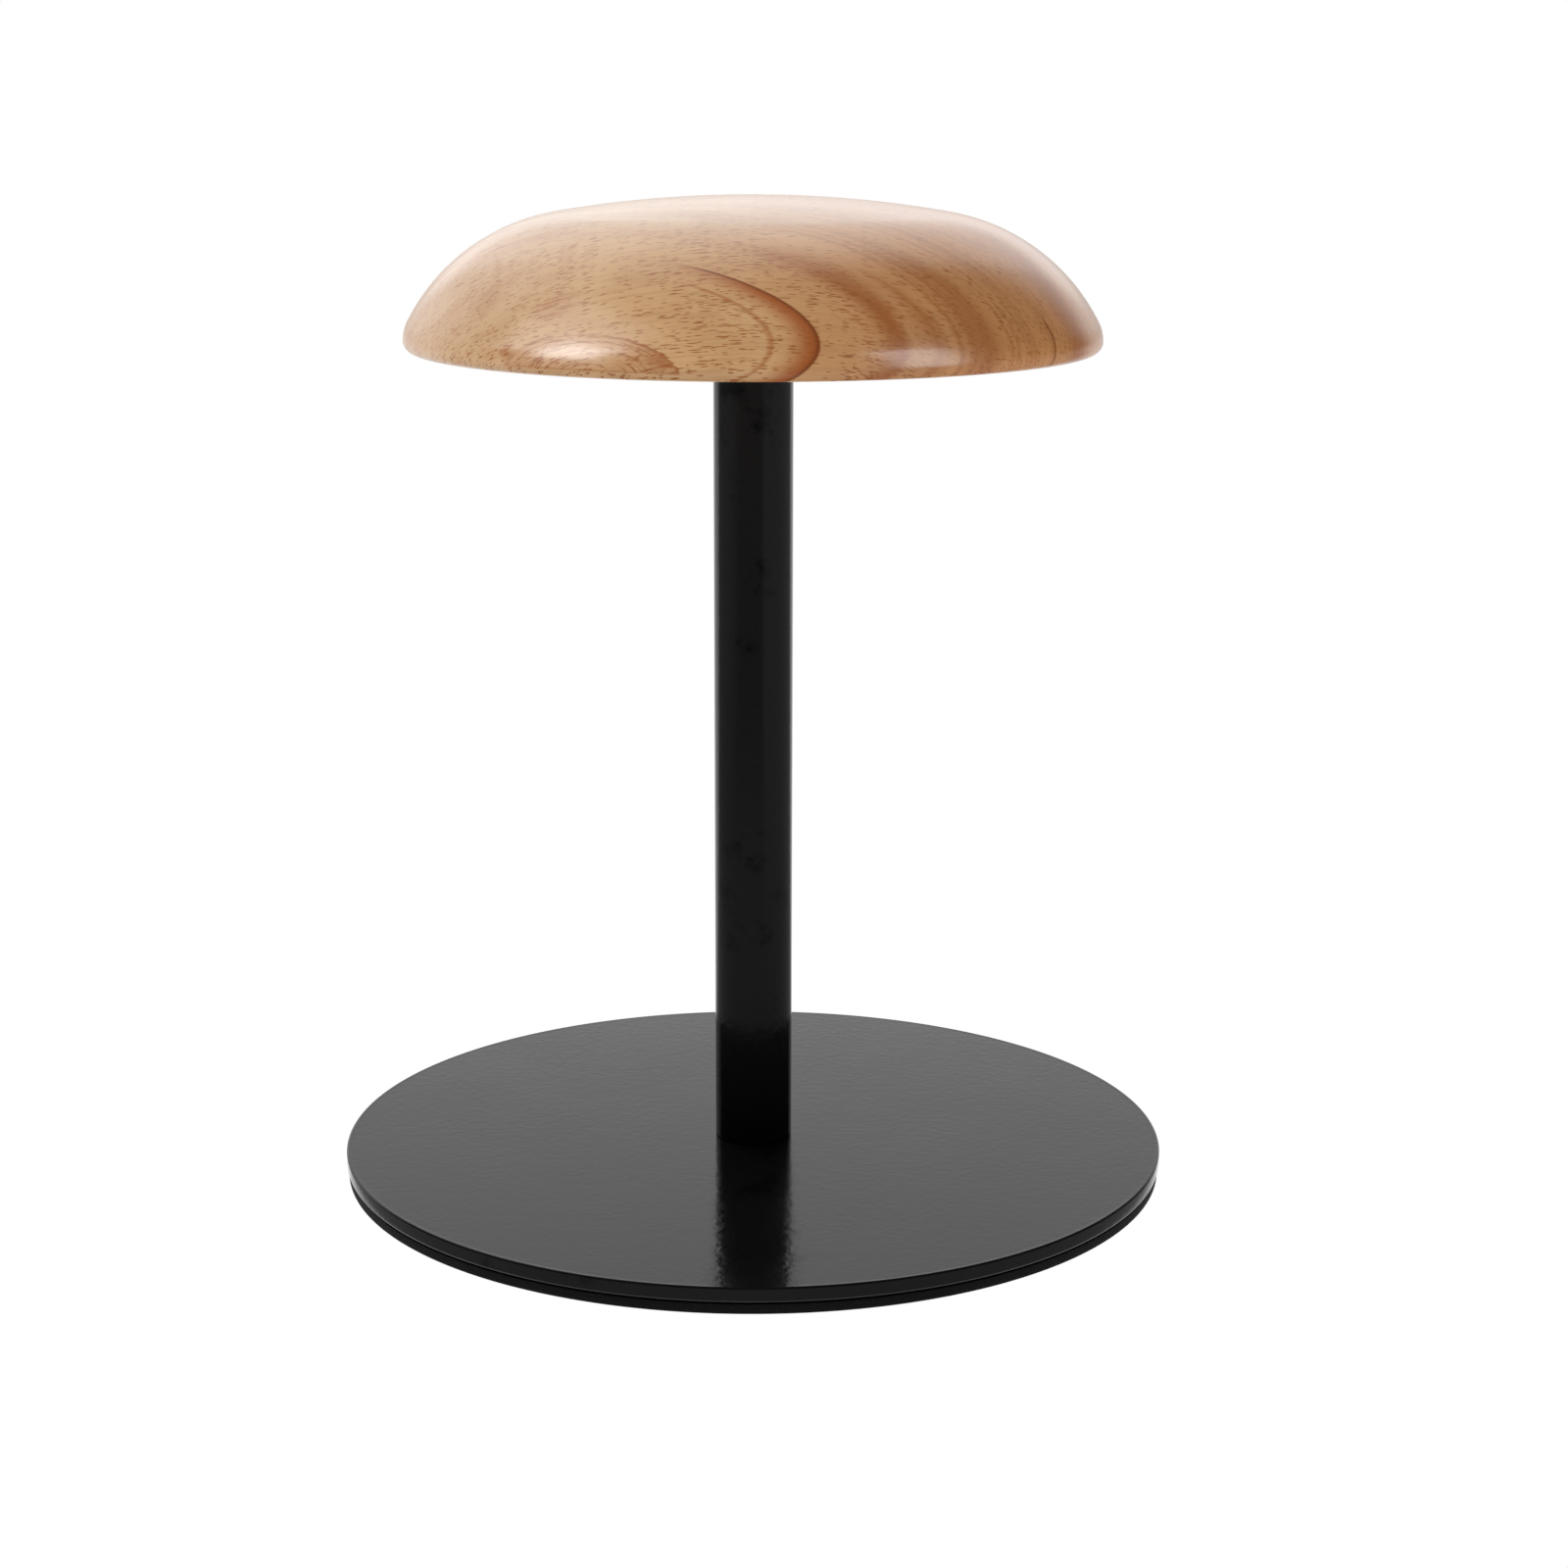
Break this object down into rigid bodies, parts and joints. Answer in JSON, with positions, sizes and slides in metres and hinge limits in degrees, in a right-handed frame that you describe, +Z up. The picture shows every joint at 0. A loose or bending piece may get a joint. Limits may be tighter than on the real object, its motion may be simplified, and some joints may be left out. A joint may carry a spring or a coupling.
{
  "type": "hat stand",
  "caption": "Tabletop hat stand: a domed, lacquered wooden head on a slim black post that is screwed to a round black base plate with a foam pad under it.",
  "frame": {"origin": "centre of the foam pad's underside, on the table under the post's axis", "axes": "+Z up along the post, +X along the grain of the head, -Y towards the viewer of the picture"},
  "size_m": [0.15, 0.15, 0.175],
  "materials": {
    "lacquered_wood": "turned hardwood under a clear satin lacquer",
    "black_powder_coat": "satin black powder coat with a fine orange peel",
    "black_foam": "closed-cell foam with a fine speckled cut edge",
    "adhesive_film": "translucent double-sided film",
    "black_oxide_steel": "black oxide, slightly oily",
    "zinc_plated_steel": "bright zinc plate"
  },
  "bodies": {
    "root": {"head": "lacquered_wood", "post_tube": "black_powder_coat", "base_plate": "black_powder_coat", "base_pad": "black_foam", "pad_adhesive": "adhesive_film", "base_screw": "black_oxide_steel", "head_stud": "black_oxide_steel", "post_lower_plug": "zinc_plated_steel", "post_upper_plug": "zinc_plated_steel", "head_insert": "zinc_plated_steel"}
  },
  "joints": []
}
